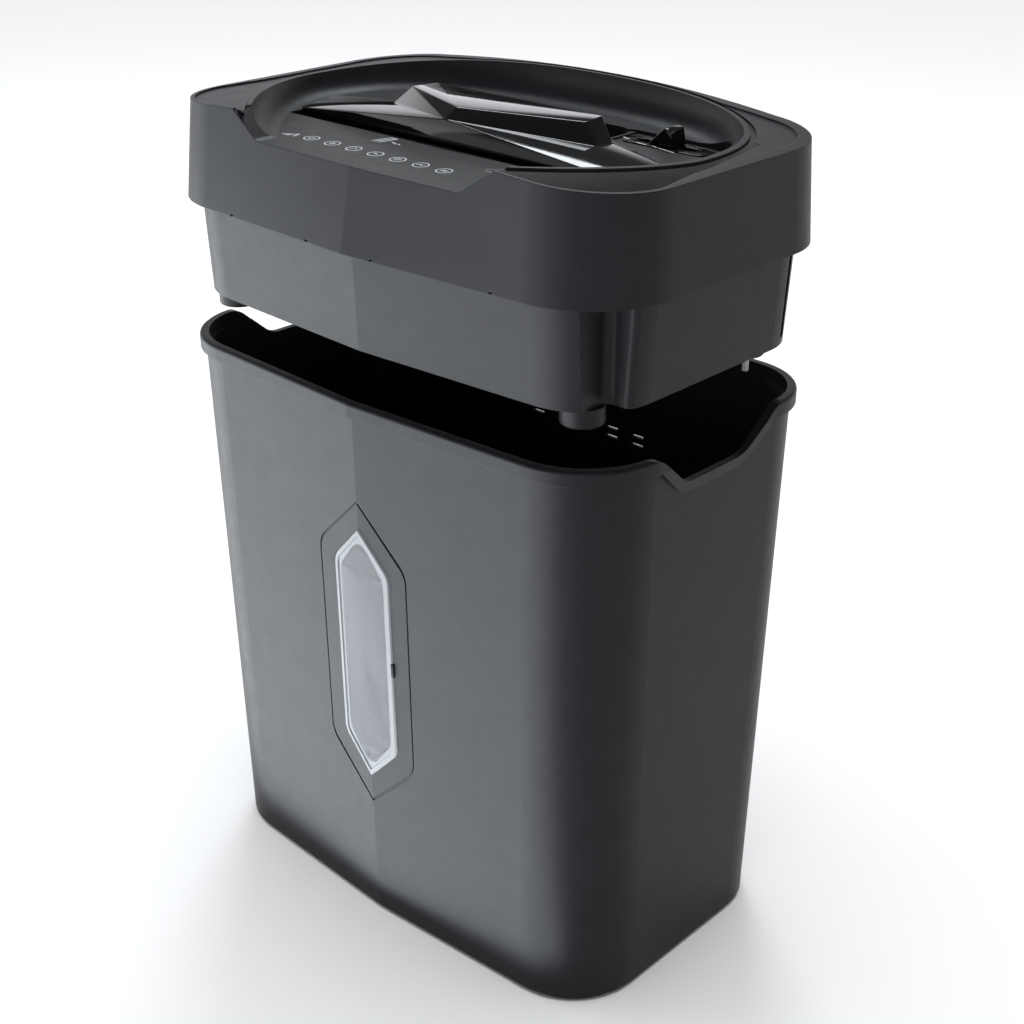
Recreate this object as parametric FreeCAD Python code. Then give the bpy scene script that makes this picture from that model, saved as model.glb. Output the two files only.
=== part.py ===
"""Paper shredder: a bin standing on the floor and a shredder head held above it, in millimetres."""
import FreeCAD
import Part
import math
import os
from FreeCAD import Vector

# ---- driving dimensions -------------------------------------------------------------------
bin_height = 330.0
foot_height = 3.0
rim_width, rim_depth = 322.0, 190.0
rim_radius, rim_rear_radius = 49.0, 42.0
base_width, base_depth, base_shift = 306.0, 174.0, 2.0
crease = 8.5              # how far the front's centre line stands proud of its ends
rim_step = 3.0            # the rolled rim stands this far outside the wall
rim_band = 8.0            # height of the rolled rim
rim_ledge = 5.0           # width of the rim's flat top
wall = 2.5

notch_top, notch_bottom, notch_drop = 97.0, 48.0, 21.0
notch_round, notch_lip = 17.0, 6.0
window_half, window_low, window_high, window_shoulder = 34.0, 79.0, 273.0, 33.0
lens_half, lens_low, lens_high, lens_shoulder = 21.5, 97.0, 257.0, 23.0
window_round, lens_round = 14.0, 9.0
slit_long, slit_tall, slit_pitch = 9.0, 1.5, 19.5

lift = 79.0               # the head is held this far above its closed place
seam = bin_height + lift  # lower edge of the upper cover
cover_height = 51.0       # at the corners; the top is crowned between them
front_crown, rear_crown = 6.0, 9.0
head_width, head_depth = 324.0, 190.0
head_radius, head_rear_radius = 50.0, 43.0
rear_bow = 8.5
cover_inset, top_crease = 3.5, 2.0
cover_wall = 2.8
deck = 42.0               # deck surface above the seam
deck_plate = 3.0
oval_half, oval_front, oval_rear = 140.0, 125.0, 93.0
oval_front_power, oval_rear_power = 1.6, 2.6
lip_width, inlay_drop = 2.4, 0.9
tongue_bottom, tongue_top, tongue_rise = 72.0, 92.0, 13.0
edge_notches = (-90.0, -27.0, 21.0, 97.0)

housing_drop = 53.0
housing_gap, housing_draft = 7.5, 2.5
relief_x, relief_y = 136.5, 60.5   # the front corners are stepped back beyond these
post_radius, post_long = 11.2, 10.0
post_x, post_front, post_rear = 128.0, -68.0, 62.0
screw_x, screw_y = 140.0, 52.0

slot_half, slot_front, slot_rear = 112.0, -38.0, -27.0
switch_x, switch_y = 80.0, 49.0
recess_long, recess_wide, recess_deep = 78.0, 26.0, 1.8
sensor_y, sensor_z = -19.0, 22.0
indicator_x, indicator_y = 21.0, 66.0
pocket_half, pocket_front, pocket_rear, pocket_deep = 50.0, 24.0, 62.0, 20.0

cutter_y, cutter_z = -32.0, -12.0
cutter_gap = 31.0         # between the two cutter axes
disc_radius, disc_thick, disc_pitch, disc_count = 18.0, 4.0, 8.2, 27
core_radius, journal_radius = 11.0, 7.0
plate_x, plate_thick = 117.0, 2.0
drive_radius, idler_small, idler_large, pinion_radius = 22.0, 8.0, 20.5, 5.5
gear_play = 0.25          # added to each pair's centre distance
idler_drop, motor_rise = 5.0, 6.0
motor_radius, motor_long = 20.0, 74.0
layer_inner, layer_outer, layer_thick = 1.5, 10.5, 7.5
board_left, board_right, board_front, board_rear, board_z = -105.0, -5.0, 30.0, 78.0, -22.0
plunger_x, plunger_y, plunger_side = 122.0, 74.0, 3.0
plunger_low, plunger_top, plunger_travel = -78.0, -39.0, 4.8
gland_x, gland_z = 0.0, 12.0

rear_cutter_y = cutter_y + cutter_gap / 2
idler_reach = drive_radius + idler_small + gear_play
idler_y = rear_cutter_y + math.sqrt(idler_reach ** 2 - idler_drop ** 2)
idler_z = cutter_z - idler_drop
motor_reach = idler_large + pinion_radius + gear_play
motor_y = idler_y + math.sqrt(motor_reach ** 2 - motor_rise ** 2)
motor_z = idler_z + motor_rise

# ---- helpers ------------------------------------------------------------------------------
up = Vector(0, 0, 1)
along = Vector(1, 0, 0)


def save(shape, name):
    shape.exportStep("parts/" + name + ".step")
    print(name, len(shape.Solids), round(shape.Volume), shape.isValid())


def box(x0, x1, y0, y1, z0, z1):
    return Part.makeBox(x1 - x0, y1 - y0, z1 - z0, Vector(x0, y0, z0))


def rod(radius, x0, x1, y, z):
    return Part.makeCylinder(radius, x1 - x0, Vector(x0, y, z), along)


def post(radius, x, y, z0, z1):
    return Part.makeCylinder(radius, z1 - z0, Vector(x, y, z0), up)


def prism(points, direction):
    closed = points + [points[0]]
    return Part.Face(Part.makePolygon([Vector(*p) for p in closed])).extrude(Vector(*direction))


def fused(shapes):
    return shapes[0].multiFuse(shapes[1:]).removeSplitter()


def mirrored(shape):
    return shape.mirror(Vector(0, 0, 0), along)


def plan_wire(width, depth, radius, rear_radius, z, fold, bow=0.0, shift=0.0):
    """A rounded rectangle whose front is folded about its centre line and whose rear may bow."""
    half, front, rear = width / 2, -depth / 2, depth / 2
    slope = fold / half
    lean = math.atan(slope)
    cx = half - radius
    cy = front - fold + cx * slope + radius * math.sqrt(1 + slope * slope)
    rx = half - rear_radius
    ry = rear - rear_radius

    def at(x, y):
        return Vector(x, y + shift, z)

    def round_corner(x, y, r, start, end, side):
        points = [at(side * (x + r * math.cos(a)), y + r * math.sin(a))
                  for a in (start, (start + end) / 2, end)]
        return points if side > 0 else points[::-1]

    fr = round_corner(cx, cy, radius, lean - math.pi / 2, 0, 1)
    rr = round_corner(rx, ry, rear_radius, 0, math.pi / 2, 1)
    rl = round_corner(rx, ry, rear_radius, 0, math.pi / 2, -1)
    fl = round_corner(cx, cy, radius, lean - math.pi / 2, 0, -1)
    tip = at(0, front - fold)
    if bow > 0:
        back = Part.Arc(rr[2], at(0, rear + bow), rl[0]).toShape()
    else:
        back = Part.makeLine(rr[2], rl[0])
    edges = [Part.makeLine(tip, fr[0]), Part.Arc(*fr).toShape(), Part.makeLine(fr[2], rr[0]),
             Part.Arc(*rr).toShape(), back, Part.Arc(*rl).toShape(),
             Part.makeLine(rl[2], fl[0]), Part.Arc(*fl).toShape(), Part.makeLine(fl[2], tip)]
    return Part.Wire(edges)


def bin_wire(z, inset):
    """The bin wall's outline at height z, moved inwards by inset."""
    part = (z - foot_height) / (bin_height - foot_height)
    width = base_width + (rim_width - 2 * rim_step - base_width) * part
    depth = base_depth + (rim_depth - 2 * rim_step - base_depth) * part
    return plan_wire(width - 2 * inset, depth - 2 * inset, rim_radius - rim_step - inset,
                     rim_rear_radius - rim_step - inset, z, crease, 0, base_shift * (1 - part))


def bin_solid(z0, z1, inset):
    return Part.makeLoft([bin_wire(z0, inset), bin_wire(z1, inset)], True, True)


def cover_wire(z, inset):
    """The upper cover's outline at height z above the seam, moved inwards by inset."""
    part = z / cover_height
    shrink = 2 * cover_inset * part + 2 * inset
    fold = crease + (top_crease - crease) * part
    return plan_wire(head_width - shrink, head_depth - shrink, head_radius - shrink / 2,
                     head_rear_radius - shrink / 2, seam + z, fold, rear_bow)


def cover_solid(z0, z1, inset):
    return Part.makeLoft([cover_wire(z0, inset), cover_wire(z1, inset)], True, True)


def housing_wire(z, inset):
    """The lower housing's outline at depth z below the seam, moved inwards by inset."""
    gap = housing_gap + housing_draft * z / housing_drop + inset
    return plan_wire(head_width - 2 * gap, head_depth - 2 * gap, head_radius - gap,
                     head_rear_radius - gap, seam - z, crease)


def housing_solid(z0, z1, inset):
    return Part.makeLoft([housing_wire(z1, inset), housing_wire(z0, inset)], True, True)


def oval_wire(z, grow):
    """The oval bowl's outline: pointed towards the front, squarer at the rear."""
    count = 40
    points = []
    for i in range(count):
        turn = 2 * math.pi * i / count
        cosine, sine = math.cos(turn), math.sin(turn)
        power = oval_rear_power if sine > 0 else oval_front_power
        reach = (oval_rear if sine > 0 else oval_front) + grow
        x = math.copysign(abs(cosine) ** (2 / power), cosine) * (oval_half + grow)
        y = math.copysign(abs(sine) ** (2 / power), sine) * reach
        points.append(Vector(x, y, seam + z))
    curve = Part.BSplineCurve()
    curve.interpolate(points, PeriodicFlag=True)
    return Part.Wire([curve.toShape()])


def oval_column(z0, z1, grow):
    return Part.Face(oval_wire(z0, grow)).extrude(Vector(0, 0, z1 - z0))


def above_crown(drop):
    """Everything above the crowned top, moved down by drop."""
    reach, side = 140.0, head_width / 2
    level = seam + cover_height - drop

    def arch(y, rise):
        return Part.Arc(Vector(-side, y, level), Vector(0, y, level + rise),
                        Vector(side, y, level)).toShape()

    sheet = Part.makeRuledSurface(arch(-reach, front_crown), arch(reach, rear_crown))
    return sheet.extrude(Vector(0, 0, 60))


def capsule(x, y, long, wide, z0, z1):
    """An upright slot-shaped column, long in X."""
    r = wide / 2
    a = long / 2 - r
    edges = [Part.makeLine(Vector(x - a, y - r, z0), Vector(x + a, y - r, z0)),
             Part.Arc(Vector(x + a, y - r, z0), Vector(x + a + r, y, z0),
                      Vector(x + a, y + r, z0)).toShape(),
             Part.makeLine(Vector(x + a, y + r, z0), Vector(x - a, y + r, z0)),
             Part.Arc(Vector(x - a, y + r, z0), Vector(x - a - r, y, z0),
                      Vector(x - a, y - r, z0)).toShape()]
    return Part.Face(Part.Wire(edges)).extrude(Vector(0, 0, z1 - z0))


def rounded(solid, radius, direction, chosen):
    """The solid with those of its edges rounded that run along direction and are chosen."""
    edges = [edge for edge in solid.Edges
             if abs(edge.tangentAt(edge.FirstParameter).dot(direction)) > 0.99
             and chosen(edge.CenterOfMass)]
    return solid.makeFillet(radius, edges)


def hexagon(half, low, high, shoulder, radius):
    """A tall six-sided prism through the bin's front, pointed at its top and bottom."""
    y = -rim_depth
    points = [(0, y, low), (half, y, low + shoulder), (half, y, high - shoulder),
              (0, y, high), (-half, y, high - shoulder), (-half, y, low + shoulder)]
    return rounded(prism(points, (0, rim_depth, 0)), radius, Vector(0, 1, 0),
                   lambda middle: abs(middle.x) > half / 2)


def window_line(inset):
    """The window's surround, moved inwards by inset."""
    return hexagon(window_half - inset, window_low + 1.7 * inset, window_high - 1.7 * inset,
                   window_shoulder, window_round - inset)


def pane(inset):
    """The clear pane's outline, moved inwards by inset."""
    return hexagon(lens_half - inset, lens_low + 1.5 * inset, lens_high - 1.5 * inset,
                   lens_shoulder, lens_round - inset)


def gear(teeth, pitch_radius, x0, x1, y, z, bore, phase=0.0):
    """A straight-toothed gear on an X axis; its teeth are cut thin so that a pair runs free."""
    module = 2 * pitch_radius / teeth
    tip, root = pitch_radius + 0.7 * module, pitch_radius - 1.1 * module
    step = 2 * math.pi / teeth
    outline = []
    for i in range(teeth):
        middle = (i + phase) * step
        for share, radius in ((-0.29, root), (-0.1, tip), (0.1, tip), (0.29, root)):
            angle = middle + share * step
            outline.append((x0, y + radius * math.cos(angle), z + radius * math.sin(angle)))
    body = prism(outline, (x1 - x0, 0, 0))
    return body.cut(rod(bore, x0 - 1, x1 + 1, y, z))


# ---- bin ----------------------------------------------------------------------------------
def bin_shell():
    top = bin_height - rim_band
    shell = bin_solid(foot_height, bin_height, 0)
    rim = Part.Face(plan_wire(rim_width, rim_depth, rim_radius, rim_rear_radius, top,
                              crease)).extrude(Vector(0, 0, rim_band))
    upper = [edge for edge in rim.Edges if edge.BoundBox.ZMin > bin_height - 0.1]
    rim = rim.makeFillet(1.6, upper)
    fade = bin_height - notch_drop - rim_band
    lip = Part.makeLoft([bin_wire(fade, 0), plan_wire(rim_width, rim_depth, rim_radius,
                                                      rim_rear_radius, top, crease)], True, True)
    shell = fused([shell, rim, lip.common(notch_profile(notch_lip))])
    shell = shell.cut(bin_solid(foot_height + wall, bin_height + 1, wall + 0.01))
    mouth = plan_wire(rim_width - 2 * rim_ledge, rim_depth - 2 * rim_ledge,
                      rim_radius - rim_ledge, rim_rear_radius - rim_ledge, top, crease)
    shell = shell.cut(Part.Face(mouth).extrude(Vector(0, 0, 2 * rim_band)))
    shell = shell.cut(notch_profile(0))
    shell = shell.cut(pane(0))
    line = window_line(0).cut(window_line(0.9))
    skin = bin_solid(foot_height, bin_height, -1).cut(bin_solid(foot_height, bin_height, 0.7))
    shell = shell.cut(line.common(skin))
    for column in range(-2, 3):
        for z in (263.0, 257.5):
            x = column * slit_pitch
            shell = shell.cut(box(x - slit_long / 2, x + slit_long / 2, 60, 110,
                                  z - slit_tall / 2, z + slit_tall / 2))
    return shell


def notch_profile(grow):
    """The hand-hold notches of both side walls, as one prism along X, grown all round."""
    reach = rim_width
    low = bin_height - notch_drop - grow
    top = bin_height + 2
    half_low = notch_bottom / 2 + 0.35 * grow
    half_top = notch_top / 2 + 1.1 * grow
    wide = half_top + 2 * notch_round
    points = [(-reach, -half_low, low), (-reach, half_low, low), (-reach, half_top, bin_height),
              (-reach, wide, bin_height), (-reach, wide, top), (-reach, -wide, top),
              (-reach, -wide, bin_height), (-reach, -half_top, bin_height)]
    return rounded(prism(points, (2 * reach, 0, 0)), notch_round, along,
                   lambda middle: middle.z < top - 1 and abs(middle.y) < half_top + 1)


def layer(outer, inner):
    """A skin that follows the bin's wall between two insets; less than 0 is outside it."""
    return bin_solid(foot_height, bin_height, outer).cut(bin_solid(foot_height, bin_height, inner))


def lens():
    """The clear window pane: it follows the folded front and stands a little proud."""
    proud = -0.8
    front = layer(proud, 1.4).common(pane(0.1))
    flange = layer(wall + 0.02, wall + 1.4).common(pane(-3.5))
    skirt = layer(proud, wall + 0.8).common(pane(0.1)).cut(pane(2.2))
    return fused([front, skirt, flange])


def foot_pads():
    """A thin pad under each corner, shaped like the corner."""
    outer = Part.Face(plan_wire(base_width - 8, base_depth - 8, 38, 34, 0, crease, 0, base_shift))
    inner = Part.Face(plan_wire(base_width - 34, base_depth - 34, 25, 21, 0, crease, 0, base_shift))
    ring = outer.cut(inner).extrude(Vector(0, 0, foot_height))
    front = ring.common(box(95, 170, -110, -38, -1, 5))
    rear = ring.common(box(95, 170, 38, 110, -1, 5))
    return {"bin_foot_front_right": front, "bin_foot_front_left": mirrored(front),
            "bin_foot_rear_right": rear, "bin_foot_rear_left": mirrored(rear)}


# ---- head, outside ------------------------------------------------------------------------
def crescent(grow, drop):
    """The gloss inlay's plan at the right front corner, as a layer under the crowned top."""
    inset = cover_inset + 2.6 - grow
    plan = Part.Face(plan_wire(head_width - 2 * inset, head_depth - 2 * inset,
                               head_radius - inset, head_rear_radius - inset, seam + 20,
                               top_crease)).extrude(Vector(0, 0, 60))
    line = [(80 - grow, -130, seam + 20), (170, -130, seam + 20), (157 + grow, -60, seam + 20),
            (142 + grow, 44, seam + 20), (80 - grow, 44, seam + 20)]
    layer = plan.common(prism(line, (0, 0, 60))).cut(oval_column(10, 90, 3.2 - grow))
    return layer.common(above_crown(drop))


def bowl():
    """The dished space over the deck, with a coved wall."""
    sections = [oval_wire(deck, -15), oval_wire(deck + 1.6, -9), oval_wire(deck + 6, -3.5),
                oval_wire(deck + 14, 0), oval_wire(deck + 30, 1)]
    return Part.makeLoft(sections, True, False)


def tongue():
    """The bowl's mouth in the front wall, where the deck runs out as the control panel."""
    floor, high = seam + deck, seam + deck + 40
    points = [(-tongue_bottom, -130, floor), (tongue_bottom, -130, floor),
              (tongue_top, -130, floor + tongue_rise), (tongue_top, -130, high),
              (-tongue_top, -130, high), (-tongue_top, -130, floor + tongue_rise)]
    return rounded(prism(points, (0, 68, 0)), 8, Vector(0, 1, 0),
                   lambda middle: middle.z < floor + 1)


def upper_cover():
    cover = cover_solid(0, cover_height + 14, 0).cut(above_crown(0))
    hollow = cover_solid(-1, cover_height - 4, cover_wall)
    keep = oval_column(deck - deck_plate, 80, 4)
    cover = cover.cut(hollow.cut(keep))
    cover = cover.cut(bowl()).cut(tongue())
    lip = oval_column(deck, 90, lip_width)
    groove = oval_column(deck, 90, lip_width + 3).cut(lip).common(above_crown(2.0))
    strip = cover_solid(deck - 10, deck + 30, 7).cut(lip).common(above_crown(0.8))
    mouth = box(-90, 90, -130, 0, seam, seam + 90)
    cover = cover.cut(groove.cut(mouth)).cut(strip.cut(mouth))
    inlay = crescent(0.1, 2.2)
    cover = cover.cut(inlay).cut(mirrored(inlay))
    floor = seam + deck
    cover = cover.cut(box(-slot_half, slot_half, slot_front, slot_rear + 8, floor - 20, floor + 5))
    cover = cover.cut(capsule(switch_x, switch_y, recess_long, recess_wide,
                              floor - recess_deep, floor + 9))
    cover = cover.cut(capsule(switch_x, switch_y - 2, 40, 8, floor - 9, floor + 9))
    cover = cover.cut(post(1.6, indicator_x, indicator_y, floor - 9, floor + 9))
    cup = box(-pocket_half - 2.2, pocket_half + 2.2, pocket_front - 14.2, pocket_rear + 2.2,
              floor - pocket_deep - 2.2, floor - 1)
    space = box(-pocket_half, pocket_half, pocket_front - 12, pocket_rear,
                floor - pocket_deep, floor + 9)
    upright = [edge for edge in space.Edges if abs(edge.tangentAt(edge.FirstParameter).z) > 0.9]
    cover = cover.fuse(cup).cut(space.makeFillet(9, upright))
    low, high = seam - housing_drop + wall + 0.1, seam + cover_height - 3
    for x in (-screw_x, screw_x):
        for y in (-screw_y, screw_y):
            boss = post(4, x, y, low, high).cut(post(2, x, y, low - 1, low + 22))
            cover = cover.fuse(boss)
    for x in edge_notches:
        cover = cover.cut(box(x - 1.1, x + 1.1, -120, -70, seam - 1, seam + 1.4))
    return cover.cut(at_gland(Part.makeCylinder(6.1, 40, Vector(0, -20, 0), Vector(0, 1, 0))))


def at_gland(shape):
    """Moves a shape made about the Y axis to the gland's place and lean in the rear wall."""
    lean = math.degrees(math.atan(cover_inset / cover_height))
    y = head_depth / 2 + rear_bow - cover_inset * gland_z / cover_height
    shape.rotate(Vector(0, 0, 0), along, lean)
    shape.translate(Vector(gland_x, y, seam + gland_z))
    return shape


def solid_from(faces):
    """A closed solid from flat faces given by their corner points."""
    made = [Part.Face(Part.makePolygon([Vector(*p) for p in face + [face[0]]])) for face in faces]
    shell = Part.makeShell(made)
    shell.sewShape()
    solid = Part.makeSolid(shell)
    if solid.Volume < 0:
        solid.reverse()
    return solid


def throat_handle():
    """The gloss insert: flat wings, a folded front apron and a raised arrow-shaped grip."""
    z = seam
    low, wing = deck + 0.05, deck + 1.6
    s1, w1 = (111, -29.5, z + wing), (114, -26.5, z + wing)
    w2, w3 = (121, 3, z + wing), (91, 17, z + wing)
    b0, b1, b2 = (0, -29.5, z + 54.2), (72, 3, z + 46.8), (73, 16, z + 46)
    p0, p1, p2 = (0, -21, z + 59), (62, 8, z + 56.5), (59, 24, z + 56.5)
    s0, rear_low, rear_top = (0, -31.5, z + wing), (0, 24, z + low), (0, 24, z + 56.5)
    ground = [(p[0], p[1], z + low) for p in (s0, s1, w1, w2, w3)]
    right = [[s0, s1, b0], [s1, b1, b0], [s1, w1, w2], [s1, w2, b1], [w2, w3, b2], [w2, b2, b1],
             [b0, b1, p1], [b0, p1, p0], [b1, b2, p2], [b1, p2, p1], [p0, p1, p2],
             [p0, p2, rear_top], [rear_top, p2, b2], [rear_top, b2, w3], [rear_top, w3, rear_low],
             [w3, ground[4], rear_low]]
    outline = [s0, s1, w1, w2, w3]
    for i in range(4):
        right.append([outline[i], ground[i], ground[i + 1]])
        right.append([outline[i], ground[i + 1], outline[i + 1]])
    right.append([ground[0], rear_low, ground[4]])
    right.append([ground[0], ground[4], ground[3]])
    right.append([ground[0], ground[3], ground[2]])
    right.append([ground[0], ground[2], ground[1]])
    left = [[(-x, y, h) for x, y, h in reversed(face)] for face in right]
    body = solid_from(right + left)
    grip_space = box(-pocket_half, pocket_half, pocket_front - 12, pocket_front + 5,
                     z + deck - 1, z + deck + 9)
    return body.cut(grip_space).removeSplitter()


def feed_throat():
    """Two sloped guide walls that lead the sheet from the slot to the cutters."""
    z1 = seam + deck - deck_plate - 0.1
    z0 = seam + cutter_z + disc_radius + 4
    half = slot_half + 2
    front = [(-half, slot_front - 2, z1), (-half, slot_front, z1), (-half, cutter_y - 3, z0),
             (-half, cutter_y - 5, z0)]
    rear = [(-half, slot_rear + 2, z1), (-half, slot_rear, z1), (-half, cutter_y + 3, z0),
            (-half, cutter_y + 5, z0)]
    end = [(half, slot_front - 2, z1), (half, slot_rear + 2, z1), (half, cutter_y + 5, z0),
           (half, cutter_y - 5, z0)]
    end_wall = prism(end, (2, 0, 0))
    throat = fused([prism(front, (2 * half, 0, 0)), prism(rear, (2 * half, 0, 0)),
                    end_wall, mirrored(end_wall)])
    return throat.cut(box(-3, 3, slot_rear - 6, slot_rear + 9, z0 - 1, z0 + 18))


def corner_relief(inset):
    """The two stepped-back front corners of the lower housing, grown inwards by inset."""
    step = box(relief_x - inset, 200, -140, -relief_y + inset, seam - 80, seam + 20)
    step = rounded(step, 5 + inset, up, lambda middle: middle.x < 150 and middle.y > -100)
    return step.fuse(mirrored(step))


def lower_housing():
    z = seam
    body = housing_solid(-6, housing_drop, 0).cut(corner_relief(0))
    body = rounded(body, 4, up, lambda middle: abs(middle.x) > 149 and middle.y < -50)
    body = body.cut(housing_solid(-7, housing_drop - wall, wall).cut(corner_relief(wall)))
    low = z - housing_drop - post_long
    for x in (-post_x, post_x):
        for y in (post_front, post_rear):
            foot = post(post_radius, x, y, low, z - housing_drop)
            rims = [edge for edge in foot.Edges if edge.BoundBox.ZMax < low + 0.1]
            foot = foot.makeFillet(1.2, rims).cut(post(4.5, x, y, low - 1, low + post_long - 2))
            body = body.fuse(foot)
    body = body.cut(box(-slot_half, slot_half, cutter_y - 30, cutter_y + 30,
                        z - housing_drop - 1, z - housing_drop + wall + 1))
    for side in (-1, 1):
        body = body.cut(box(side * 150 - 8, side * 150 + 8, 60.5, 64.5, z - 49, z - 3))
    for x in (-screw_x, screw_x):
        for y in (-screw_y, screw_y):
            body = body.cut(post(2.1, x, y, z - 70, z - 40))
    return body.cut(post(plunger_side * 0.85, plunger_x, plunger_y, z - 70, z - 40))


def cord_gland():
    """The strain-relief bush in the rear wall, with its cable hole."""
    back = Vector(0, 1, 0)
    bush = Part.makeCylinder(6, 7.6, Vector(0, -6, 0), back)
    inner = Part.makeCylinder(8, 2, Vector(0, -cover_wall - 2.2, 0), back)
    outer = Part.makeCylinder(8, 1.2, Vector(0, 0.15, 0), back)
    gland = fused([bush, inner, outer]).cut(Part.makeCylinder(3.6, 30, Vector(0, -15, 0), back))
    return at_gland(gland)


def switch_plate():
    floor = seam + deck - recess_deep + 0.1
    plate = capsule(switch_x + 4, switch_y - 2, 56, 16, floor, floor + 1.6)
    return plate.cut(capsule(switch_x + 4, switch_y - 2, 38, 6, floor - 1, floor + 3))


def switch_knob():
    floor = seam + deck + 0.1
    x, y = switch_x + 4, switch_y - 2
    wedge = [(x - 9, y - 6, floor), (x + 7, y - 6, floor), (x + 5, y - 6, floor + 9),
             (x + 1, y - 6, floor + 9.6)]
    stem = box(x - 4, x + 4, y - 2.4, y + 2.4, floor - 9, floor + 1)
    return fused([prism(wedge, (0, 12, 0)), stem])


# ---- head, inside -------------------------------------------------------------------------
def cutter(y, offset, drive_long):
    """One cutter: a machined shaft with hooked discs and a journal at each end."""
    z = seam + cutter_z
    half = plate_x - 1.0
    shaft = [rod(core_radius, -half, half, y, z),
             rod(journal_radius, -plate_x - plate_thick - 12, plate_x + plate_thick + drive_long, y, z)]
    for i in range(disc_count):
        x = (i - (disc_count - 1) / 2) * disc_pitch + offset
        disc = rod(disc_radius, x - disc_thick / 2, x + disc_thick / 2, y, z)
        for k in range(3):
            turn = 2 * math.pi * (k / 3 + i / 9)
            hook = box(x - 3, x + 3, y - 1.5, y + 4.5, z + disc_radius - 3, z + disc_radius + 3)
            hook.rotate(Vector(x, y, z), along, math.degrees(turn))
            disc = disc.cut(hook)
        shaft.append(disc)
    return fused(shaft)


def comb(side):
    """A stripper comb: a bar with one finger between each two discs of its own cutter."""
    y = cutter_y + side * cutter_gap / 2
    z = seam + cutter_z
    outside = y + side * (disc_radius + 1)
    bar_y = sorted((outside, outside + side * 4))
    parts = [box(-plate_x, plate_x, bar_y[0], bar_y[1], z - 6, z + 6)]
    finger_y = sorted((y + side * (core_radius + 1), outside + side))
    for i in range(disc_count - 1):
        x = (i - (disc_count - 2) / 2) * disc_pitch + side * disc_pitch / 4
        parts.append(box(x - 1.7, x + 1.7, finger_y[0], finger_y[1], z - 4, z + 4))
    return fused(parts)


def end_plate(side):
    x0 = side * plate_x - (plate_thick if side < 0 else 0)
    z = seam
    plate = box(x0, x0 + plate_thick, -74, 66, z - housing_drop + wall + 0.1, z + 12)
    for y in (cutter_y - cutter_gap / 2, cutter_y + cutter_gap / 2):
        plate = plate.cut(rod(journal_radius + 3, x0 - 1, x0 + 5, y, z + cutter_z))
    if side > 0:
        plate = plate.cut(rod(7, x0 - 1, x0 + 5, motor_y, z + motor_z))
        plate = plate.cut(rod(3, x0 - 1, x0 + 5, idler_y, z + idler_z))
    return plate


def bushes():
    made = []
    for side in (-1, 1):
        x0 = side * plate_x - (plate_thick if side < 0 else 0)
        for y in (cutter_y - cutter_gap / 2, cutter_y + cutter_gap / 2):
            bush = rod(journal_radius + 2.98, x0 + 0.02, x0 + plate_thick - 0.02, y, seam + cutter_z)
            made.append(bush.cut(rod(journal_radius + 0.05, x0 - 1, x0 + 5, y, seam + cutter_z)))
    return Part.makeCompound(made)


def tie_rods():
    places = ((-68, -36), (-68, 4), (8, -38), (60, -38))
    return Part.makeCompound([rod(3, -plate_x, plate_x, y, seam + z) for y, z in places])


def motor_can():
    x1 = plate_x
    body = rod(motor_radius, x1 - motor_long, x1 - 3, motor_y, seam + motor_z)
    body = body.fuse(rod(8, x1 - motor_long - 5, x1 - 0.05, motor_y, seam + motor_z))
    return body.cut(rod(2.6, x1 - motor_long - 6, x1 + 1, motor_y, seam + motor_z)).removeSplitter()


def motor_rotor():
    x1 = plate_x + plate_thick
    return rod(2.5, x1 - 60, x1 + 10, motor_y, seam + motor_z)


def facing(teeth, angle, gap):
    """The phase that turns a tooth, or a gap, towards an angle."""
    return angle * teeth / (2 * math.pi) + (0.5 if gap else 0)


def drive_gears():
    """The reduction outside the right end plate: pinion, stepped idler and drive gear."""
    x0 = plate_x + plate_thick
    inner, outer = x0 + layer_inner, x0 + layer_outer
    to_idler = math.atan2(idler_z - cutter_z, idler_y - rear_cutter_y)
    to_motor = math.atan2(motor_z - idler_z, motor_y - idler_y)
    drive = gear(44, drive_radius, outer, outer + layer_thick, rear_cutter_y, seam + cutter_z,
                 journal_radius, facing(44, to_idler, False))
    large = gear(41, idler_large, inner, inner + layer_thick, idler_y, seam + idler_z, 3.05,
                 facing(41, to_motor, False))
    small = gear(16, idler_small, outer - 1.5, outer + layer_thick, idler_y, seam + idler_z, 3.05,
                 facing(16, to_idler + math.pi, True))
    pinion = gear(11, pinion_radius, inner, inner + layer_thick, motor_y, seam + motor_z, 2.5,
                  facing(11, to_motor + math.pi, True))
    return drive, large.fuse(small), pinion


def idler_pin():
    x0 = plate_x + 0.02
    shaft = rod(2.98, x0, x0 + 21, idler_y, seam + idler_z)
    return shaft.fuse(rod(4.5, x0 + 20.4, x0 + 21.6, idler_y, seam + idler_z)).removeSplitter()


def board_parts():
    """The control board with its tallest pieces and its four stand-offs."""
    top = seam + board_z + 1.6
    board = box(board_left, board_right, board_front, board_rear, seam + board_z, top)
    pegs = []
    for x in (board_left + 5, board_right - 5):
        for y in (board_front + 5, board_rear - 6):
            pegs.append(post(3, x, y, seam - housing_drop + wall + 0.1, seam + board_z - 0.05))
    relay = box(board_left + 12, board_left + 40, 38, 51, top + 0.05, top + 17)
    capacitor = post(8, board_left + 60, 48, top + 0.05, top + 24)
    terminal = box(board_left + 14, board_left + 54, 62, 72, top + 0.05, top + 12)
    coil = box(board_left + 72, board_left + 94, 38, 60, top + 0.05, top + 19)
    return {"control_board": board, "board_standoffs": Part.makeCompound(pegs),
            "motor_relay": relay, "mains_capacitor": capacitor,
            "terminal_block": terminal, "power_transformer": coil}


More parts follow.
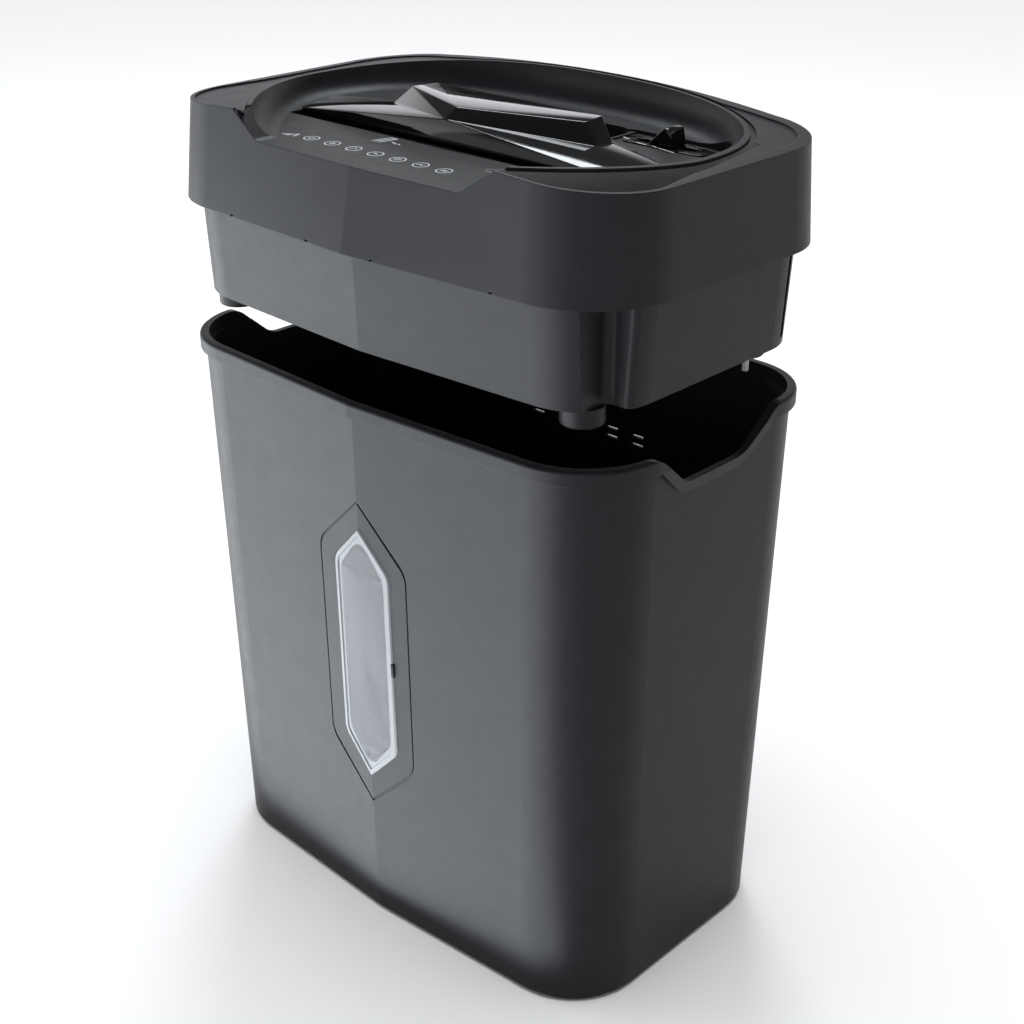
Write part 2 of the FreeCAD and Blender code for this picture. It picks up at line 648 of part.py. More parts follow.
def interlock_plunger():
    """The pin that feels the bin; its collar rests on the housing's floor."""
    half = plunger_side / 2
    floor = seam - housing_drop + wall
    pin = box(plunger_x - half, plunger_x + half, plunger_y - half, plunger_y + half,
              seam + plunger_low, seam + plunger_top)
    pin = pin.common(post(half * 1.15, plunger_x, plunger_y, seam + plunger_low, seam))
    collar = post(4, plunger_x, plunger_y, floor + 0.1, floor + 2)
    return fused([pin, collar])


def spring(radius, wire, length, turns, x, y, z):
    helix = Part.makeHelix(length / turns, length, radius)
    section = Part.Wire([Part.makeCircle(wire, Vector(radius, 0, 0), Vector(0, 1, 0))])
    coil = Part.Wire(helix.Edges).makePipeShell([section], True, True)
    coil.translate(Vector(x, y, z))
    return coil


def sensor_parts():
    """The lever across the slot that feels a sheet, its pin and the block that carries it."""
    y, z = sensor_y, seam + sensor_z
    lever = fused([rod(2.6, -1.5, 1.5, y, z), box(-1.5, 1.5, y - 15, y, z - 1.2, z + 1.2)])
    lever = lever.cut(rod(1.05, -2, 2, y, z))
    block = box(-8, 8, y + 5, y + 13, z - 6, z + 8)
    ears = box(-4.5, 4.5, y - 2.6, y + 6, z - 3, z + 3).cut(box(-1.8, 1.8, y - 4, y + 4, z - 5, z + 5))
    block = block.fuse(ears).cut(rod(1.02, -5, 5, y, z))
    return lever, rod(1.0, -4.5, 4.5, y, z), block


def case_screws():
    low = seam - housing_drop
    made = []
    for x in (-screw_x, screw_x):
        for y in (-screw_y, screw_y):
            head = post(3.8, x, y, low - 2.2, low - 0.02)
            cross = box(x - 2.2, x + 2.2, y - 0.5, y + 0.5, low - 3, low - 1.2)
            cross = cross.fuse(box(x - 0.5, x + 0.5, y - 2.2, y + 2.2, low - 3, low - 1.2))
            made.append(fused([head, post(1.95, x, y, low - 1, low + 22)]).cut(cross))
    return Part.makeCompound(made)


def build():
    os.makedirs("parts", exist_ok=True)
    z = seam
    save(bin_shell(), "bin_shell")
    save(lens(), "window_lens")
    for name, pad in foot_pads().items():
        save(pad, name)

    save(upper_cover(), "upper_cover")
    inlay = crescent(0, 2.1).cut(above_crown(inlay_drop))
    save(inlay, "gloss_inlay_right")
    save(mirrored(inlay), "gloss_inlay_left")
    save(throat_handle(), "throat_handle")
    save(feed_throat(), "feed_throat")
    save(lower_housing(), "lower_housing")
    save(cord_gland(), "cord_gland")
    save(switch_plate(), "switch_plate")
    save(switch_knob(), "switch_knob")
    body = box(switch_x - 16, switch_x + 24, switch_y - 11, switch_y + 7, z + 22, z + 32)
    save(body, "switch_body")
    save(post(1.5, indicator_x, indicator_y, z + deck - 6, z + deck + 0.4), "power_indicator")

    front, rear = cutter_y - cutter_gap / 2, cutter_y + cutter_gap / 2
    save(cutter(front, -disc_pitch / 4, 1), "cutter_front")
    save(cutter(rear, disc_pitch / 4, 20), "cutter_rear")
    save(comb(-1), "stripper_comb_front")
    save(comb(1), "stripper_comb_rear")
    save(end_plate(-1), "end_plate_left")
    save(end_plate(1), "end_plate_right")
    save(bushes(), "cutter_bushes")
    save(tie_rods(), "tie_rods")

    x0 = -plate_x - plate_thick
    save(gear(20, cutter_gap / 2, x0 - 10, x0 - 2, front, z + cutter_z, journal_radius),
         "cutter_gear_front")
    save(gear(20, cutter_gap / 2, x0 - 10, x0 - 2, rear, z + cutter_z, journal_radius, 0.5),
         "cutter_gear_rear")
    drive, idler, pinion = drive_gears()
    save(drive, "drive_gear")
    save(idler, "idler_gear")
    save(pinion, "motor_pinion")
    save(idler_pin(), "idler_pin")
    save(motor_can(), "motor_can")
    save(motor_rotor(), "motor_shaft")
    top = z + motor_z + motor_radius
    save(box(70, 84, motor_y - 4, motor_y + 4, top + 0.05, top + 4), "thermal_cutout")
    for name, shape in board_parts().items():
        save(shape, name)
    save(interlock_plunger(), "interlock_plunger")
    low = z - housing_drop + wall + 2.1
    save(spring(2.7, 0.4, z + plunger_top - low - 1, 5, plunger_x, plunger_y, low + 0.4),
         "interlock_spring")
    save(box(plunger_x - 10, plunger_x + 10, plunger_y - 4, plunger_y + 3,
             z + plunger_top + plunger_travel + 0.1, z + plunger_top + 16), "interlock_switch")
    lever, pin, block = sensor_parts()
    save(lever, "paper_sensor_lever")
    save(pin, "sensor_pin")
    save(block, "sensor_block")
    save(case_screws(), "case_screws")


build()
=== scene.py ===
import bpy
from math import radians, pi
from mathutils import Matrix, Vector


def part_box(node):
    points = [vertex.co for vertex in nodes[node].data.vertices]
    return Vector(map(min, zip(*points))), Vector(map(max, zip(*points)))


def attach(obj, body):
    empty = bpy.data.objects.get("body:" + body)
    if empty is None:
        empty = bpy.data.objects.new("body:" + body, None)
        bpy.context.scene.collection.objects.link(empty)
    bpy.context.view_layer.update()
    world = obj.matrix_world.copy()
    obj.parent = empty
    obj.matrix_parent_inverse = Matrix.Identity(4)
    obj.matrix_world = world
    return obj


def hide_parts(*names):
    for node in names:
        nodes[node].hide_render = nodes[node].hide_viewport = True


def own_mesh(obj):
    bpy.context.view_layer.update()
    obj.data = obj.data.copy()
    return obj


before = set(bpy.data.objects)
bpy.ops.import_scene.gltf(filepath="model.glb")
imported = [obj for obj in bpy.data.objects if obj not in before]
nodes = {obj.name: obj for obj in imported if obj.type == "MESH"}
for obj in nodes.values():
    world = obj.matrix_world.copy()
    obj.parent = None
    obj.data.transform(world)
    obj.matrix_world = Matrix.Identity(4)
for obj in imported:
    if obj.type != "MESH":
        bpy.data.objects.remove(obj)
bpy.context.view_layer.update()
scene = bpy.context.scene


# ---- camera, floor and light

viewValues = {
    "place": (0.598436, -0.628057, 0.652740),
    "turn": 42.62,        # degrees round the shredder
    "tilt": 25.883,       # degrees looking down
    "roll": 0.331,
    "lens": 58.589,
    "sensor": 36,
    "nearest": 0.01,
}


def addCamera():
    bpy.ops.object.camera_add(location=viewValues["place"])
    camera = bpy.context.object
    camera.name = "mainCamera"
    camera.rotation_euler = (radians(90 - viewValues["tilt"]), 0, radians(viewValues["turn"]))
    camera.rotation_euler.rotate_axis("Z", radians(viewValues["roll"]))
    camera.data.lens = viewValues["lens"]
    camera.data.sensor_width = viewValues["sensor"]
    camera.data.clip_start = viewValues["nearest"]
    scene.camera = camera
    print("camera is set")


studioValues = {
    "floorSize": 12.0,
    "floorColour": (0.94, 0.94, 0.945, 1),
    "floorRough": 0.8,
    "skyColour": (0.95, 0.97, 1.0, 1),
    "horizonStrength": 1.3,
    "ceilingStrength": 0.12,
    "horizonHeight": 0.2,      # the sky starts to darken here, as a share of straight up
    "ceilingHeight": 0.35,
    "lampColour": (0.92, 0.965, 1.0),
    "sunStrength": 2.4,
    "sunAngle": 1.1,
    "sunHeight": 3.0,
}

# name, place, aimed at, size, watts; the low card lies just over the floor, where the
# front mirrors it
lampValues = [
    ("rearSoftbox", (-1.05, 1.14, 2.0), (0, 0, 0.45), (0.7, 0.7), 17),
    ("leftSoftbox", (-1.75, -0.9, 0.8), (-0.1, -0.1, 0.2), (1.4, 1.4), 12),
    ("lowCard", (-0.95, -1.2, 0.012), (-0.95, -1.2, 1.0), (2.2, 2.2), 76),
]


def addStudio():
    bpy.ops.mesh.primitive_plane_add(size=studioValues["floorSize"])
    floor = bpy.context.object
    floor.name = "studioFloor"
    paper = bpy.data.materials.new("floorPaper")
    paper.use_nodes = True
    shader = paper.node_tree.nodes["Principled BSDF"]
    shader.inputs["Base Color"].default_value = studioValues["floorColour"]
    shader.inputs["Roughness"].default_value = studioValues["floorRough"]
    floor.data.materials.append(paper)

    world = bpy.data.worlds.new("studioWorld")
    world.use_nodes = True
    scene.world = world
    tree = world.node_tree
    sky = tree.nodes["Background"]
    sky.inputs["Color"].default_value = studioValues["skyColour"]
    direction = tree.nodes.new("ShaderNodeTexCoord")
    parts = tree.nodes.new("ShaderNodeSeparateXYZ")
    fade = tree.nodes.new("ShaderNodeMapRange")
    fade.inputs["From Min"].default_value = studioValues["horizonHeight"]
    fade.inputs["From Max"].default_value = studioValues["ceilingHeight"]
    fade.inputs["To Min"].default_value = studioValues["horizonStrength"]
    fade.inputs["To Max"].default_value = studioValues["ceilingStrength"]
    tree.links.new(direction.outputs["Generated"], parts.inputs["Vector"])
    tree.links.new(parts.outputs["Z"], fade.inputs["Value"])
    tree.links.new(fade.outputs["Result"], sky.inputs["Strength"])

    for name, place, target, size, watts in lampValues:
        bpy.ops.object.light_add(type="AREA", location=place)
        lamp = bpy.context.object
        lamp.name = name
        lamp.data.shape = "RECTANGLE"
        lamp.data.size, lamp.data.size_y = size
        lamp.data.energy = watts
        aim = Vector(target) - Vector(place)
        lamp.rotation_euler = aim.to_track_quat("-Z", "Y").to_euler()
        lamp.data.color = studioValues["lampColour"]
        lamp.visible_camera = False
    # a wide soft sun from above keeps the whole floor near white
    bpy.ops.object.light_add(type="SUN", location=(0, 0, studioValues["sunHeight"]))
    sun = bpy.context.object
    sun.name = "floorSun"
    sun.data.energy = studioValues["sunStrength"]
    sun.data.angle = studioValues["sunAngle"]
    sun.visible_glossy = False
    scene.view_settings.view_transform = "Standard"
    print("floor and lights are set")


addCamera()
addStudio()


# ---- finishes

noiseLow, noiseHigh = 0.3, 0.7     # most of a noise pattern's values lie between these


class Finish:
    # one procedural material, built up a step at a time

    def __init__(self, name):
        self.material = bpy.data.materials.new(name)
        self.material.use_nodes = True
        self.tree = self.material.node_tree
        self.shader = self.tree.nodes["Principled BSDF"]
        self.place = self.add("ShaderNodeTexCoord").outputs["Object"]

    def add(self, kind):
        return self.tree.nodes.new(kind)

    def link(self, source, target):
        self.tree.links.new(source, target)

    def fix(self, **values):
        for key, value in values.items():
            self.shader.inputs[key.replace("_", " ")].default_value = value

    def noise(self, scale, detail=3.0, stretch=(1, 1, 1)):
        mapping = self.add("ShaderNodeMapping")
        mapping.inputs["Scale"].default_value = stretch
        self.link(self.place, mapping.inputs["Vector"])
        cloud = self.add("ShaderNodeTexNoise")
        cloud.inputs["Scale"].default_value = scale
        cloud.inputs["Detail"].default_value = detail
        self.link(mapping.outputs["Vector"], cloud.inputs["Vector"])
        return cloud.outputs["Fac"]

    def spread(self, factor, low, high):
        fit = self.add("ShaderNodeMapRange")
        fit.inputs["From Min"].default_value = noiseLow
        fit.inputs["From Max"].default_value = noiseHigh
        fit.inputs["To Min"].default_value = low
        fit.inputs["To Max"].default_value = high
        self.link(factor, fit.inputs["Value"])
        return fit.outputs["Result"]

    def colour(self, factor, first, second):
        ramp = self.add("ShaderNodeValToRGB")
        ramp.color_ramp.elements[0].position = noiseLow
        ramp.color_ramp.elements[0].color = (*first, 1)
        ramp.color_ramp.elements[1].position = noiseHigh
        ramp.color_ramp.elements[1].color = (*second, 1)
        self.link(factor, ramp.inputs["Fac"])
        self.link(ramp.outputs["Color"], self.shader.inputs["Base Color"])

    def rough(self, factor, low, high):
        self.link(self.spread(factor, low, high), self.shader.inputs["Roughness"])

    def bump(self, height, distance, strength, edge):
        relief = self.add("ShaderNodeBump")
        relief.inputs["Strength"].default_value = strength
        relief.inputs["Distance"].default_value = distance
        self.link(height, relief.inputs["Height"])
        if edge > 0:                         # softens the moulded edges
            rounding = self.add("ShaderNodeBevel")
            rounding.samples = 4
            rounding.inputs["Radius"].default_value = edge
            self.link(rounding.outputs["Normal"], relief.inputs["Normal"])
        self.link(relief.outputs["Normal"], self.shader.inputs["Normal"])


def moulded(name, first, second, rough, grain=1700.0, depth=0.00005, edge=0.0007, shine=0.5):
    # spark-textured moulding: fine grain, cloudy patches in colour and shine
    finish = Finish(name)
    finish.colour(finish.noise(45.0, 5.0), first, second)
    finish.rough(finish.noise(120.0, 6.0), *rough)
    finish.bump(finish.noise(grain, 2.0), depth, 0.5, edge)
    finish.fix(IOR=1.5, Specular_IOR_Level=shine)
    return finish.material


def polished(name, first, second):
    # piano-black lacquer: wiped smears in the shine and a little orange peel
    finish = Finish(name)
    finish.colour(finish.noise(60.0, 3.0), first, second)
    finish.rough(finish.noise(28.0, 6.0, (1, 3.5, 1)), 0.03, 0.09)
    finish.bump(finish.noise(190.0, 2.0), 0.00003, 0.12, 0.0006)
    finish.fix(IOR=1.5, Coat_Weight=0.08, Coat_Roughness=0.04, Specular_IOR_Level=0.22)
    return finish.material


def metal(name, first, second, rough, stretch=(1, 40, 40), scale=60.0):
    # turned or drawn metal: fine lines across the part's length, duller patches
    finish = Finish(name)
    lines = finish.noise(scale, 5.0, stretch)
    finish.colour(finish.noise(85.0, 6.0), first, second)
    finish.rough(lines, *rough)
    finish.bump(lines, 0.00002, 0.35, 0.0002)
    finish.fix(Metallic=1.0)
    return finish.material


def clearPane(name):
    # milky clear plastic with faint flow lines along its length
    finish = Finish(name)
    finish.colour(finish.noise(26.0, 4.0, (1, 1, 0.3)), (0.20, 0.212, 0.224), (0.24, 0.252, 0.266))
    finish.rough(finish.noise(70.0, 5.0, (1, 1, 0.25)), 0.12, 0.24)
    finish.bump(finish.noise(150.0, 3.0, (1, 1, 0.3)), 0.00004, 0.2, 0.0004)
    finish.fix(IOR=1.46, Transmission_Weight=0.35, Specular_IOR_Level=0.25)
    return finish.material


def circuitBoard(name):
    # solder mask over copper runs laid out on a square grid
    finish = Finish(name)
    tracks = finish.add("ShaderNodeTexBrick")
    tracks.inputs["Scale"].default_value = 130.0
    tracks.inputs["Mortar Size"].default_value = 0.035
    tracks.inputs["Color1"].default_value = (0.008, 0.075, 0.03, 1)
    tracks.inputs["Color2"].default_value = (0.012, 0.1, 0.042, 1)
    tracks.inputs["Mortar"].default_value = (0.05, 0.22, 0.09, 1)
    finish.link(finish.place, tracks.inputs["Vector"])
    finish.link(tracks.outputs["Color"], finish.shader.inputs["Base Color"])
    finish.rough(finish.noise(300.0), 0.25, 0.4)
    finish.bump(tracks.outputs["Fac"], 0.00004, 0.5, 0.0002)
    return finish.material


def printedInk(name):
    # white print, a little thin in places
    finish = Finish(name)
    finish.colour(finish.noise(900.0, 3.0), (0.62, 0.63, 0.64), (0.82, 0.83, 0.84))
    finish.rough(finish.noise(500.0), 0.45, 0.6)
    finish.bump(finish.noise(2400.0), 0.00002, 0.3, 0)
    return finish.material


grey = {"dark": (0.0060, 0.0066, 0.0080), "light": (0.0082, 0.0089, 0.0106)}

slotFinishes = {
    "black_plastic": moulded("blackPlastic", grey["dark"], grey["light"], (0.41, 0.46),
                             shine=0.17),
    "gloss_black": polished("glossBlack", (0.0035, 0.0035, 0.004), (0.0055, 0.0055, 0.006)),
    "clear_plastic": clearPane("clearPlastic"),
    "foot_rubber": moulded("footRubber", (0.012, 0.012, 0.012), (0.022, 0.022, 0.021), (0.7, 0.9),
                           900.0, 0.0001),
    "gland_rubber": moulded("glandRubber", (0.01, 0.01, 0.01), (0.018, 0.018, 0.018), (0.55, 0.75),
                            1100.0, 0.00008, 0.0005),
    "indicator_lens": moulded("indicatorLens", (0.02, 0.022, 0.024), (0.035, 0.037, 0.04),
                              (0.12, 0.2), 600.0, 0.00001, 0.0003),
    "cutter_steel": metal("cutterSteel", (0.34, 0.33, 0.31), (0.46, 0.45, 0.43), (0.24, 0.42)),
    "plate_steel": metal("plateSteel", (0.55, 0.56, 0.57), (0.68, 0.69, 0.7), (0.3, 0.45),
                         (1, 6, 40)),
    "bush_bronze": metal("bushBronze", (0.46, 0.28, 0.11), (0.6, 0.38, 0.17), (0.3, 0.45)),
    "gear_steel": metal("gearSteel", (0.4, 0.4, 0.4), (0.52, 0.52, 0.51), (0.28, 0.42)),
    "gear_nylon": moulded("gearNylon", (0.62, 0.6, 0.53), (0.72, 0.7, 0.63), (0.38, 0.5), 700.0,
                          0.00003, 0.0003),
    "comb_plastic": moulded("combPlastic", (0.03, 0.03, 0.032), (0.05, 0.05, 0.052), (0.45, 0.6)),
    "motor_steel": metal("motorSteel", (0.5, 0.5, 0.5), (0.62, 0.62, 0.61), (0.3, 0.5), (1, 1, 1),
                         220.0),
    "board_green": circuitBoard("boardGreen"),
    "relay_blue": moulded("relayBlue", (0.012, 0.05, 0.2), (0.02, 0.07, 0.26), (0.3, 0.4), 900.0,
                          0.00003, 0.0005),
    "capacitor_sleeve": moulded("capacitorSleeve", (0.01, 0.02, 0.06), (0.02, 0.03, 0.08),
                                (0.22, 0.32), 500.0, 0.00002, 0.0006),
    "terminal_green": moulded("terminalGreen", (0.02, 0.2, 0.07), (0.035, 0.26, 0.1), (0.38, 0.5),
                              900.0, 0.00003, 0.0004),
    "transformer_iron": metal("transformerIron", (0.16, 0.15, 0.14), (0.25, 0.24, 0.22),
                              (0.45, 0.65), (1, 1, 60), 40.0),
    "switch_case": moulded("switchCase", (0.012, 0.012, 0.013), (0.024, 0.024, 0.026), (0.4, 0.55)),
    "spring_steel": metal("springSteel", (0.5, 0.5, 0.5), (0.66, 0.66, 0.65), (0.2, 0.35)),
    "screw_steel": metal("screwSteel", (0.4, 0.4, 0.42), (0.55, 0.55, 0.56), (0.25, 0.4),
                         (1, 1, 8), 300.0),
}
ink = printedInk("whitePrint")


def dressNodes():
    for node in nodes.values():
        for holder in node.material_slots:
            holder.material = slotFinishes[holder.material.name]
    # the left half of the inlay is grained like the cover around it
    nodes["gloss_inlay_left"].material_slots[0].material = slotFinishes["black_plastic"]
    print("CAD nodes are dressed")


dressNodes()


# ---- ways of working

def deselect():
    if bpy.context.object and bpy.context.object.mode != "OBJECT":
        bpy.ops.object.mode_set(mode="OBJECT")
    bpy.ops.object.select_all(action="DESELECT")


def choose(piece):
    deselect()
    piece.select_set(True)
    bpy.context.view_layer.objects.active = piece


def settle(piece):
    # the object ends at the origin, unturned, with its place in its mesh
    choose(piece)
    bpy.ops.object.transform_apply(location=True, rotation=True, scale=True)


def join(pieces, name):
    deselect()
    for piece in pieces:
        piece.select_set(True)
    bpy.context.view_layer.objects.active = pieces[0]
    bpy.ops.object.join()
    pieces[0].name = name
    settle(pieces[0])
    return pieces[0]


def pickVerts(piece, rule):
    # leaves edit mode on, in vertex mode, with only the chosen vertices selected
    bpy.ops.object.mode_set(mode="EDIT")
    bpy.ops.mesh.select_mode(type="VERT")
    bpy.ops.mesh.select_all(action="DESELECT")
    bpy.ops.object.mode_set(mode="OBJECT")
    for vertex in piece.data.vertices:
        vertex.select = rule(vertex.co)
    bpy.ops.object.mode_set(mode="EDIT")


def addModifier(piece, kind, **values):
    modifier = piece.modifiers.new(kind.lower(), kind)
    for key, value in values.items():
        setattr(modifier, key, value)
    choose(piece)
    bpy.ops.object.modifier_apply(modifier=modifier.name)


def smooth(piece, angle=32):
    choose(piece)
    bpy.ops.object.shade_smooth_by_angle(angle=radians(angle))


def finishPiece(piece, body, slot, material=None):
    piece.data.materials.clear()
    piece.data.materials.append(material or slotFinishes[slot])
    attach(piece, body)


copyValues = {"mergeDistance": 0.00001, "flatDegrees": 1.0}


def copyNode(node, name):
    # a copy of a CAD node with its loose triangles merged back into flat faces
    piece = nodes[node].copy()
    piece.data = nodes[node].data.copy()
    piece.name = name
    for key in list(piece.keys()):
        del piece[key]
    scene.collection.objects.link(piece)
    piece.parent = None
    choose(piece)
    bpy.ops.mesh.customdata_custom_splitnormals_clear()
    bpy.ops.object.mode_set(mode="EDIT")
    bpy.ops.mesh.select_all(action="SELECT")
    bpy.ops.mesh.remove_doubles(threshold=copyValues["mergeDistance"])
    bpy.ops.mesh.dissolve_limited(angle_limit=radians(copyValues["flatDegrees"]))
    bpy.ops.object.mode_set(mode="OBJECT")
    return piece


# ---- window pane

paneValues = {
    "flange": 0.0035,      # the CAD pane's inner flange, left out of the outline
    "tipShare": 1.5,       # how much faster the tips grow than the sides
    "shoulder": 0.023,
    "shoulderRound": 0.0042,
    "chamfer": 0.0009,
    "border": 0.0019,
    "recess": 0.0007,
    "panelSide": 0.0050,
    "panelTip": 0.0062,
    "panelShoulder": 0.9,  # share of the pane's own shoulder
    "panelRound": 0.0036,
    "panelBlunt": 0.0080,
    "panelRise": 0.0006,
    "skirt": 0.0033,
    "thickness": 0.0013,
    "levelTolerance": 0.00002,
}

# side, height, length of each snap tab behind the pane
tabPlaces = [(-0.0155, 0.2005, 0.0140), (-0.0160, 0.1520, 0.0125),
             (0.0190, 0.2000, 0.0125), (0.0185, 0.1520, 0.0120)]
tabValues = {"behind": 0.0032, "wide": 0.0018, "deep": 0.0026, "edge": 0.0004}

# where the front is touched, as shares of the node's half width and of its height
touchValues = {"near": 0.2, "far": 0.6, "low": 0.35, "high": 0.65, "standOff": 0.5}


def frontSurface(node):
    # the folded, leaning front as a function of place, from three touches on the node
    def touch(x, z):
        return nodes[node].ray_cast((x, -touchValues["standOff"], z), (0, 1, 0))[1].y

    low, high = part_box(node)
    near, far = touchValues["near"] * high.x, touchValues["far"] * high.x
    z0 = low.z + touchValues["low"] * (high.z - low.z)
    z1 = low.z + touchValues["high"] * (high.z - low.z)
    base = touch(near, z0)
    lean = (touch(near, z1) - base) / (z1 - z0)
    fold = (touch(far, z0) - base) / (far - near)
    start = base - fold * near - lean * z0
    return lambda x, z: start + fold * abs(x) + lean * z


def addHexagon(half, bottom, top, shoulder, sideRound, tipRound):
    # a flat six-sided outline facing -Y, pointed or blunt at its top and bottom
    middle = (top + bottom) / 2
    deselect()
    bpy.ops.mesh.primitive_circle_add(vertices=6, radius=half, fill_type="NGON",
                                      location=(0, 0, middle), rotation=(pi / 2, 0, 0))
    piece = bpy.context.object
    settle(piece)
    for vertex in piece.data.vertices:
        place = vertex.co
        isTip = abs(place.x) < half / 4
        reach = 0 if isTip else shoulder
        place.z = top - reach if place.z > middle else bottom + reach
        place.x = 0 if isTip else half * (1 if place.x > 0 else -1)
    pickVerts(piece, lambda co: abs(co.x) > half / 2)
    bpy.ops.mesh.bevel(offset=sideRound, segments=6, affect="VERTICES")
    if tipRound > 0:
        pickVerts(piece, lambda co: abs(co.x) < half / 20)
        bpy.ops.mesh.bevel(offset=tipRound, segments=10, affect="VERTICES")
    bpy.ops.mesh.select_mode(type="FACE")
    bpy.ops.mesh.select_all(action="SELECT")
    return piece


def addPane():
    values = paneValues
    low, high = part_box("window_lens")
    half = high.x - values["flange"]
    bottom = low.z + values["tipShare"] * values["flange"]
    top = high.z - values["tipShare"] * values["flange"]
    middle = (top + bottom) / 2
    level = values["recess"] - values["chamfer"]

    # the panel's outline goes into the recessed middle of the bordered pane
    panel = addHexagon(half - values["panelSide"], bottom + values["panelTip"],
                       top - values["panelTip"], values["shoulder"] * values["panelShoulder"],
                       values["panelRound"], values["panelBlunt"])
    bpy.ops.mesh.delete(type="ONLY_FACE")
    bpy.ops.object.mode_set(mode="OBJECT")
    group = panel.vertex_groups.new(name="panel")
    group.add(range(len(panel.data.vertices)), 1.0, "REPLACE")
    for vertex in panel.data.vertices:
        vertex.co.y = level
    pane = addHexagon(half, bottom, top, values["shoulder"], values["shoulderRound"], 0)
    bpy.ops.mesh.inset(thickness=values["chamfer"], depth=values["chamfer"])
    bpy.ops.mesh.inset(thickness=values["border"], depth=0)
    bpy.ops.mesh.inset(thickness=values["recess"] / 2, depth=-values["recess"])
    bpy.ops.mesh.delete(type="ONLY_FACE")
    bpy.ops.object.mode_set(mode="OBJECT")
    pane = join([pane, panel], "windowPane")
    pickVerts(pane, lambda co: abs(co.y - level) < values["levelTolerance"])
    bpy.ops.mesh.select_mode(type="EDGE")
    bpy.ops.mesh.bridge_edge_loops()
    bpy.ops.mesh.select_mode(type="VERT")
    bpy.ops.mesh.select_all(action="DESELECT")
    bpy.ops.object.vertex_group_select()
    bpy.ops.mesh.edge_face_add()
    bpy.ops.mesh.select_mode(type="FACE")
    bpy.ops.mesh.inset(thickness=values["panelRise"], depth=values["panelRise"])

    # skirt through the wall and a flange behind it
    bpy.ops.mesh.select_all(action="SELECT")
    bpy.ops.mesh.region_to_loop()
    bpy.ops.mesh.extrude_edges_move(TRANSFORM_OT_translate={"value": (0, values["skirt"], 0)})
    bpy.ops.mesh.extrude_edges_move(TRANSFORM_OT_translate={"value": (0, 0, 0)})
    ratio = (half + values["flange"]) / half
    bpy.ops.transform.resize(value=(ratio, 1, 1 + (ratio - 1) * half / (top - middle)),
                             center_override=(0, 0, middle))
    bpy.ops.object.mode_set(mode="OBJECT")
    addModifier(pane, "SOLIDIFY", thickness=values["thickness"], offset=-1)
    bpy.ops.object.mode_set(mode="EDIT")
    bpy.ops.mesh.select_all(action="SELECT")
    bpy.ops.mesh.bisect(plane_co=(0, 0, 0), plane_no=(1, 0, 0))     # a cut to fold along
    bpy.ops.object.mode_set(mode="OBJECT")

    tabs = []
    for x, z, length in tabPlaces:
        deselect()
        bpy.ops.mesh.primitive_cube_add(size=1, location=(x, tabValues["behind"], z))
        tab = bpy.context.object
        tab.scale = (tabValues["wide"], tabValues["deep"], length)
        settle(tab)
        addModifier(tab, "BEVEL", width=tabValues["edge"], segments=2)
        tabs.append(tab)
    pane = join([pane] + tabs, "windowPane")
    for vertex in pane.data.vertices:
        vertex.co.y += paneFront(vertex.co.x, vertex.co.z) + values["chamfer"]
    smooth(pane)
    finishPiece(pane, "bin", "clear_plastic")
    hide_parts("window_lens")
    print("window pane is in")


clipValues = {
    "x": 0.0212,
    "z": 0.1762,
    "wide": 0.0022,
    "tall": 0.0085,
    "deep": 0.003,
    "proud": 0.0003,
    "edge": 0.0005,
}


def addPaneClip():
    # the bin wall's catch that shows at the pane's right edge
    values = clipValues
    deselect()
    bpy.ops.mesh.primitive_cube_add(size=1, location=(values["x"], 0, values["z"]))
    clip = bpy.context.object
    clip.name = "paneClip"
    clip.scale = (values["wide"], values["deep"], values["tall"])
    settle(clip)
    addModifier(clip, "BEVEL", width=values["edge"], segments=3)
    for vertex in clip.data.vertices:
        front = paneFront(vertex.co.x, vertex.co.z)
        vertex.co.y += front + values["deep"] / 2 - values["proud"]
    smooth(clip)
    finishPiece(clip, "bin", "black_plastic")
    print("pane clip is in")


paneFront = frontSurface("window_lens")
addPane()
addPaneClip()


# ---- gloss grip and switch

# CAD node: new piece, body, edge radius
roundedPieces = {
    "throat_handle": ("gripHandle", "shredder_head", 0.0011),
    "switch_knob": ("switchSlider", "mode_switch", 0.0007),
    "switch_plate": ("switchBezel", "shredder_head", 0.0005),
}
copySmooth = 40      # degrees, for the rounded copies and the spring
sharpEdge = 12       # degrees; flatter edges aren't rounded


def addRoundedCopies():
    for node, (name, body, width) in roundedPieces.items():
        piece = copyNode(node, name)
        addModifier(piece, "BEVEL", width=width, segments=3, limit_method="ANGLE",
                    angle_limit=radians(sharpEdge), use_clamp_overlap=True)
        smooth(piece, copySmooth)
        finishPiece(piece, body, "gloss_black")
        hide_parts(node)
    print("grip and switch are rounded")


addRoundedCopies()


# ---- interlock spring, which shortens as its pin is pushed in; here a smoothed copy of the CAD coil with a mesh of its own, not shortened


def addSpring():
    coil = copyNode("interlock_spring", "springCoil")
    smooth(coil, copySmooth)
    finishPiece(coil, "shredder_head", "spring_steel")
    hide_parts("interlock_spring")
    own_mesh(coil)
    print("interlock spring is in")


addSpring()


# ---- printed marks on the deck

markValues = {
    "ringCount": 7,
    "ringPitch": 0.016,
    "ringX": -0.009,       # middle of the row
    "ringY": -0.0695,
    "ringRadius": 0.0041,
    "line": 0.0005,
    "innerLine": 0.0004,   # strokes inside the rings
    "thickness": 0.00008,
}

